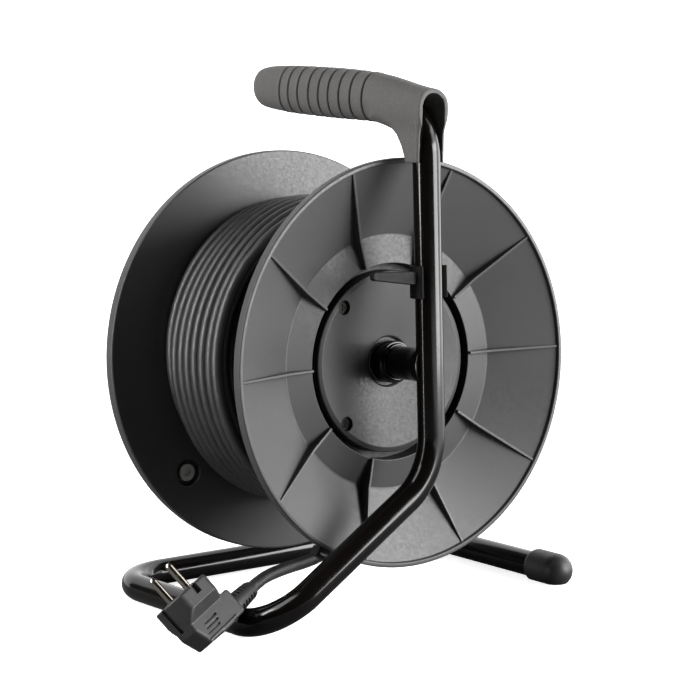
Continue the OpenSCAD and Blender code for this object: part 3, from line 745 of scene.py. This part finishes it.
def grip_dist(x, y, z):
    top, bot, wid = (np.interp(y, GRIP[:, 0], GRIP[:, i]) for i in (1, 2, 3))
    mid, hb = (top + bot) / 2, (top - bot) / 2
    ax, az, ay = np.abs(x) / wid, np.abs(z - mid) / hb, np.maximum(y - 81.0, 0.0) / 11.6
    g = ax ** 2.4 + az ** 2.1 + ay ** 2.2 + 1e-9
    k0 = np.sqrt(g)
    k1 = 0.5 * np.sqrt((2.4 * ax ** 1.4 / wid) ** 2 + (2.1 * az ** 1.1 / hb) ** 2 + (2.2 * ay ** 1.2 / 11.6) ** 2) + 1e-6
    d = np.clip(k0 * (k0 - 1) / k1, -8.0, 60.0)
    front = np.interp(z, [131.0, 168.0, 172.0, 177.0], [99.7, 102.3, 102.6, 102.0])
    d = smax(d, -front - y, 0.8)
    # grooves, square to the grip's length, shallower along the top
    lift = np.clip((z - mid) / hb, -1, 1)
    fade = 1.0 - 0.55 * np.clip((lift - 0.55) / 0.4, 0, 1)
    for r in RINGS:
        zr = float(np.interp(r, GRIP[:, 0], (GRIP[:, 1] + GRIP[:, 2]) / 2))
        off = (y - r) * 0.992 + (z - zr) * 0.125
        d = d + 2.7 * fade * np.exp(-(off / 0.74) ** 4) - 0.30 * np.exp(-((np.abs(off) - 1.7) / 0.7) ** 2)
    # neck: a side outline with a round back, a thin bead along its open front edge
    side2 = poly_dist(-y, z, NECK)
    half = np.interp(z, [131.0, 160.0, 172.0], [11.0, 10.8, 10.4])
    bead = np.exp(-(((-y) - front + 1.2) / 0.9) ** 2)
    wx = np.abs(x) - half - 0.35 * bead
    k = 1.2 + 8.2 * np.clip((y + 99.0) / 7.0, 0, 1)
    neck = smax(wx, side2, k)
    arch = np.where(z > 165.0, np.sqrt(x * x + (z - 165.0) ** 2) - 11.0, -30.0)
    neck = smax(neck, arch, 1.0)
    d = smin(d, neck, 7.0)
    # bores for the tube, and the slot at the front
    tube = np.sqrt(x * x + line_dist(y, z, bore_line) ** 2) - 9.12
    d = np.maximum(d, -tube)
    wide = np.interp(z, [131.0, 160.0, 172.0], [9.3, 9.1, 8.9])
    slot = np.where(z > 166.0, np.sqrt(x * x + (z - 166.0) ** 2) - wide, np.abs(x) - wide)
    slot = np.maximum(slot, y + np.interp(z, [140.0, 156.0], [95.3, 78.0]))
    d = smax(d, -slot, 0.4)
    return smax(d, 131.0 - z, 0.8)


V, F = skin(grip_dist, (-14.2, -105, 129.5), (14.2, 95, 206), 0.6)
build("grip_moulded", V, F, "frame", "grip_rubber", rep=["handle_grip"], sharp=55, weighted=False)

# axle, painted with the stand and flared where it is welded on
lathe("axle_painted", [(0, -95), (12.4, -95), (12.4, -89.5, 2.0), (11.6, -86.0, 3.0), (11, -82, 4.0), (11, 64), (5, 64), (5, 72, 0.6), (0, 72)],
      "frame", "frame_paint", n=96, rep=["axle", "axle_weld"], seg=6)
lathe("axle_collar", [(11, -62.5), (12.2, -62.5, 0.5), (12.5, -60.3, 0.5), (13.5, -60.2, 0.6), (14.05, -59.4, 0.6), (14.05, -49.2), (11, -49.2)],
      "frame", "frame_paint", n=128, rad=0.3, rep=["axle_ring"])
lathe("axle_end_washer", [(5, 64.1), (13.5, 64.1), (13.5, 65.6), (5, 65.6)], "frame", "bright_steel", n=64, rad=0.3, rep=["axle_washer"])

# foot cap: dome and sleeve on the open leg, flat where it stands
leg_dir = unit(leg_end - np.array(V4))
dome = [(0, -22), (11.3, -22, 0.5), (11.9, -20.5, 0.8), (11.8, 0, 0)] + [(11.8 * math.cos(t), 11.8 * math.sin(t), 0) for t in np.radians(np.arange(7.5, 90, 7.5))] + [(0, 11.8)]
V, F = lathe_mesh(dome, 64, 0.4)
side = unit(np.cross(leg_dir, (0, 0, 1)))
top = np.cross(side, leg_dir)
V = leg_end + V[:, :1] * side + V[:, 1:2] * leg_dir + V[:, 2:3] * top
V[:, 2] = np.maximum(V[:, 2], FLOOR)
build("foot_cap_moulded", V, F, "frame", "cap_rubber", rep=["foot_cap"], sharp=50)

# lock lever: an open ring round the upright, and its blade
ang = np.radians(np.arange(-32.5, 212.6, 3.5))
ring = [(12.16 * math.cos(t), -95.3 + 12.16 * math.sin(t)) for t in ang] + [(9.12 * math.cos(t), -95.3 + 9.12 * math.sin(t)) for t in ang[::-1]]
V, F = prism(ring, 44, 65, "z")
lever = build("lever_ring", V, F, None, "lever_plastic", bevel=0.8, seg=4, weighted=False)
bake(lever)
V, F = prism([(-10.4, 52.6), (-45, 57.3), (-46.2, 58.2), (-46.2, 61.6), (-45, 62.6), (-10.4, 61.8)], -97.5, -93.1, "y")
blade = build("blade", V, F, None, "lever_plastic", bevel=0.9, seg=4, weighted=False)
bake(blade)
cut(lever, [blade], "UNION")
finish_piece(lever, "lock_lever", ["lock_lever"])

# ---------------------------------------------------------------- drum
near = lathe("near_flange_disc",
             [(135, -76, 0.9), (135, -69.2, 0.6), (132.4, -69.2), (132.4, -70.6), (86.2, -50.8, 3.0), (67.6, -50.8), (67.6, -42), (58.8, -42),
              (58.8, -48.5), (44, -48.5), (44, -50.5), (60.8, -50.5), (60.8, -44), (65.6, -44), (65.6, -56, 0.6), (85, -53.4, 3.5), (131.6, -73.6, 0.5), (132, -76, 0.9)],
             "drum", "flange_plastic", n=240, rad=0.5, rep=["near_flange"])
# the deep gap round the hub gets the near-black plastic on its walls and floor: painted shade for the dark inside of
# the gap
near.data.materials.append(M["inner_plastic"])
near.data.materials.append(M["flange_fine"])
for f in near.data.polygons:
    q = [np.array(near.data.vertices[v].co) * 1000 - MID for v in f.vertices]
    rr = [math.hypot(c[0], c[2]) for c in q]
    # walls and floor of the gap round the hub take the near-black plastic as painted shade
    if min(rr) > 58.0 and max(rr) < 65.75 and max(c[1] for c in q) > -55.4:
        f.material_index = 1
    elif min(rr) > 65.3 and max(rr) < 85.9 and max(c[1] for c in q) < -53.0:
        f.material_index = 2
parts = []
for i in range(10):
    t = math.radians(0.9 + 36 * i)
    c, s = math.cos(t), math.sin(t)
    poly = [(65.8, -54.0), (85, -51.8), (131.9, -72.4), (131.9, -74.6), (86.2, -60.8), (66, -58.2)]
    V, F = prism([(a, b) for a, b in poly], -1, 1, "z")
    V = np.stack([V[:, 0] * c - V[:, 2] * s, V[:, 1], V[:, 0] * s + V[:, 2] * c], -1)
    parts.append((V, F))
build("near_flange_ribs", *joined(parts), "drum", "flange_plastic", bevel=0.45, seg=3)

hub = lathe("hub_cover_disc",
            [(60.8, -53.0, 0.4), (60.6, -54.6, 1.2), (57.4, -55.3, 3.0), (17.4, -51.4, 0.9), (16.4, -50.6, 0.6), (16.4, -48.5), (14, -48.5),
             (14, -36), (18.6, -36), (18.6, -48.2), (58.4, -52.4), (58.4, -50.5), (60.8, -50.5)],
            None, "hub_plastic", n=192, rad=0.4, weighted=False)
cuts = []
for dx in (-1, 1):
    for dz in (-1, 1):
        V, F = lathe_mesh([(0, -58), (5.7, -58), (4.6, -53.6, 0.3), (4.5, -51.4), (0, -51.4)], 48, 0.2, at=(38.2 * dx, 38.2 * dz))
        cuts.append(cutter(V, F))
cut(hub, cuts, sharp=28)
finish_piece(hub, "drum", ["hub_cover"])
# the four sleeves the screws pull on, under the cover
parts = []
for dx in (-1, 1):
    for dz in (-1, 1):
        parts.append(lathe_mesh([(2.1, -51.4), (6.6, -51.4), (6.6, -50.5), (2.1, -50.5)], 40, 0.1, at=(38.2 * dx, 38.2 * dz)))
build("hub_cover_seats", *joined(parts), "drum", "inner_plastic")

# far flange: shallow dish with a rim, a boss for the crank and a pocket for the bolt's head
far = lathe("far_flange_disc",
            [(143.6, 76, 0.9), (143.6, 68, 1.3), (76, 68), (76, 71), (138.5, 71, 2.0), (140.6, 73.2, 1.5), (140.9, 76, 0.9)],
            None, "flange_plastic", n=240, rad=0.4, weighted=False)
V, F = lathe_mesh([(0, 69.5), (14.5, 69.5, 0), (14.0, 71.6, 1.6), (12.5, 74.5, 1.0), (12.5, 77, 0.7), (0, 77)], 96, 0.3, at=(-86.0, -79.4))
boss = cutter(V, F)
V, F = lathe_mesh([(0, 66), (10.6, 66), (9.5, 68.9, 0.4), (9.4, 73), (0, 73)], 64, 0.2, at=(-86.0, -79.4))
pocket = cutter(V, F)
V, F = lathe_mesh([(0, 71), (4.0, 71), (4.0, 79), (0, 79)], 40, 0.0, at=(-86.0, -79.4))
hole = cutter(V, F)
cut(far, [boss], "UNION", sharp=28, weighted=False)
cut(far, [pocket, hole], sharp=28)
finish_piece(far, "drum", ["far_flange"])

# ---------------------------------------------------------------- stage
def stage_mesh(name, V, F, ma):
    me = bpy.data.meshes.new(name)
    me.from_pydata([tuple(v) for v in V], [], F)
    me.polygons.foreach_set("use_smooth", [True] * len(me.polygons))
    me.materials.append(ma)
    ob = bpy.data.objects.new(name, me)
    scene.collection.objects.link(ob)
    return ob


def floor_material():
    """White to the eye; towards the object it throws back less from underneath and more from the backdrop."""
    ma, nt, b = material("studio_floor")
    tc = nt.nodes.new("ShaderNodeTexCoord")
    col = ramp(nt, noise(nt, tc.outputs["Object"], 1.5, 2.0), [(0.3, grey(0.93)), (0.7, grey(0.95))])
    path = nt.nodes.new("ShaderNodeLightPath")
    seen = path.outputs["Is Camera Ray"]
    nt.links.new(mixc(nt, seen, grey(0.16), col), b.inputs["Base Color"])
    b.inputs["Roughness"].default_value = 0.7
    b.inputs["Specular IOR Level"].default_value = 0.1
    nt.links.new(col, b.inputs["Emission Color"])
    dot = nt.nodes.new("ShaderNodeVectorMath")
    dot.operation = "DOT_PRODUCT"
    nt.links.new(tc.outputs["Object"], dot.inputs[0])
    dot.inputs[1].default_value = tuple(fwd)
    wall = span(nt, dot.outputs["Value"], 0.0, 1.3, 0.7, 1.6)
    top = nt.nodes.new("ShaderNodeMath")
    top.operation = "MAXIMUM"
    nt.links.new(span(nt, seen, 0.0, 0.85), top.inputs[0])
    nt.links.new(wall, top.inputs[1])
    # the strip of floor in front of the side panels glows: painted light standing for the panels' light on the floor,
    # which it throws back onto the object
    rt = nt.nodes.new("ShaderNodeVectorMath")
    rt.operation = "DOT_PRODUCT"
    nt.links.new(tc.outputs["Object"], rt.inputs[0])
    rt.inputs[1].default_value = tuple(sd)
    both = nt.nodes.new("ShaderNodeMath")
    both.operation = "MAXIMUM"
    nt.links.new(top.outputs[0], both.inputs[0])
    nt.links.new(span(nt, rt.outputs["Value"], 0.0, 2.2, 0.5, 0.85), both.inputs[1])
    nt.links.new(both.outputs[0], b.inputs["Emission Strength"])
    return ma


# sweep: floor that curves up into a backdrop behind the object, seen from the camera
fwd = unit([-back[0], -back[1], 0.0])
sd = unit([right[0], right[1], 0.0])
floor_ma = floor_material()
prof = [(-3.0, 0.0), (-1.0, 0.0), (0.0, 0.0), (1.2, 0.0)]
prof += [(1.2 + 1.2 * math.sin(t), 1.2 - 1.2 * math.cos(t)) for t in np.radians(np.arange(6, 91, 6))] + [(2.4, 4.0)]
V, F = [], []
for d, z in prof:
    for w in (-4.0, -2.0, 0.0, 2.0, 4.0):
        V.append(tuple(fwd * d + sd * w + np.array([0, 0, z - 0.0002])))
F = grid_faces(len(prof), 5, wrap_cols=False)
stage_mesh("studio_sweep", V, F, floor_ma)


def area(name, loc, aim, size, power, color=(1, 1, 1)):
    li = bpy.data.lights.new(name, "AREA")
    li.shape = "RECTANGLE"
    li.size, li.size_y = size
    li.energy = power
    li.color = color
    ob = bpy.data.objects.new(name, li)
    scene.collection.objects.link(ob)
    loc, aim = Vector(loc), Vector(aim)
    ob.location = loc
    ob.rotation_euler = (aim - loc).to_track_quat("-Z", "Y").to_euler()
    return ob


def seen_from(turn, rise, dist):
    """A point at a turn to the right of the camera's side and a rise over level, from the object's middle."""
    a, e = math.radians(turn), math.radians(rise)
    bh = unit([back[0], back[1], 0.0])
    return tuple(np.array([0, 0, 0.16]) + dist * (math.cos(e) * (sd * math.sin(a) + bh * math.cos(a)) + np.array([0, 0, math.sin(e)])))


aim = (0, 0, 0.16)
area("light_key", seen_from(81, 26, 1.8), aim, (1.0, 0.9), 11)
area("light_side", seen_from(112, 8, 1.6), aim, (1.1, 0.9), 9.5)
area("light_right", seen_from(72, 8, 1.6), aim, (1.0, 0.8), 36)
area("light_high", seen_from(92, 42, 1.8), aim, (1.0, 0.9), 4)
area("light_left", seen_from(-60, 14, 0.95), aim, (0.14, 0.85), 7.9)
area("light_left_far", seen_from(-84, 14, 1.3), aim, (0.6, 0.8), 2)
area("light_left_high", seen_from(-60, 48, 1.8), aim, (0.9, 0.9), 13)

world = bpy.data.worlds.new("studio")
scene.world = world
world.use_nodes = True
bg = world.node_tree.nodes["Background"]
bg.inputs[0].default_value = (1, 1, 1, 1)
# pale to the eye beyond the sweep, almost no light on the object
wp = world.node_tree.nodes.new("ShaderNodeLightPath")
world.node_tree.links.new(span(world.node_tree, wp.outputs["Is Camera Ray"], 0.01, 1.0), bg.inputs[1])

# the CAD nodes that are still shown take their slot's material
SLOT_OF = {
    "axle": "frame_paint", "axle_weld": "frame_paint", "axle_ring": "frame_paint", "axle_washer": "bright_steel",
    "axle_nut": "bright_steel", "frame_tube": "frame_paint", "handle_grip": "grip_rubber", "foot_cap": "cap_rubber",
    "lock_lever": "lever_plastic", "near_flange": "flange_plastic", "cable_hook": "lever_plastic", "hub_cover": "hub_plastic",
    # the hub screws take the near-black steel, painted shade of the pits they sit in
    "hub_screws": "dark_steel", "barrel": "inner_plastic", "far_flange": "flange_plastic", "bush_near": "bush_plastic",
    "bush_far": "bush_plastic", "socket_panel": "panel_plastic", "centre_cap": "panel_plastic", "panel_screws": "bright_steel",
    "socket_1": "outlet_plastic", "socket_2": "outlet_plastic", "socket_3": "outlet_plastic", "socket_4": "outlet_plastic",
    "earth_clips": "contact_metal", "lid_pins": "bright_steel", "lid_1": "lid_plastic", "lid_2": "lid_plastic",
    "lid_3": "lid_plastic", "lid_4": "lid_plastic", "cutout_body": "inner_plastic", "cutout_button": "button_plastic",
    "terminal_block": "terminal_plastic", "cable_clamp": "inner_plastic", "knob_bolt": "bright_steel", "knob_locknut": "bright_steel",
    "knob_endnut": "bright_steel", "crank_knob": "knob_plastic", "cable_winding": "cord_rubber", "inner_lead": "cord_rubber",
    "cable_tail": "cord_rubber", "plug_relief": "plug_rubber", "plug_body": "plug_rubber", "plug_pins": "pin_metal"}
SOFTEN = {"axle_nut": 0.25, "cable_hook": 0.9, "hub_screws": 0.2, "barrel": 0.3, "bush_near": 0.25, "bush_far": 0.25, "socket_panel": 0.5,
          "centre_cap": 0.5, "panel_screws": 0.2, "socket_1": 0.35, "socket_2": 0.35, "socket_3": 0.35, "socket_4": 0.35, "earth_clips": 0.25,
          "lid_pins": 0.15, "lid_1": 0.45, "lid_2": 0.45, "lid_3": 0.45, "lid_4": 0.45, "cutout_body": 0.4, "cutout_button": 0.4,
          "terminal_block": 0.4, "cable_clamp": 0.6, "knob_bolt": 0.3, "knob_locknut": 0.3, "knob_endnut": 0.3, "crank_knob": 0.8}
for nd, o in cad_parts.items():
    o.data.materials.clear()
    o.data.materials.append(M[SLOT_OF[nd]])
    if nd in SOFTEN:
        mo = o.modifiers.new("edge", "BEVEL")
        mo.width = SOFTEN[nd] / 1000
        mo.segments = 3
        mo.limit_method = "ANGLE"
        mo.angle_limit = math.radians(30)
        mo.use_clamp_overlap = True
        wn = o.modifiers.new("normals", "WEIGHTED_NORMAL")
        wn.keep_sharp = True

bpy.context.view_layer.update()
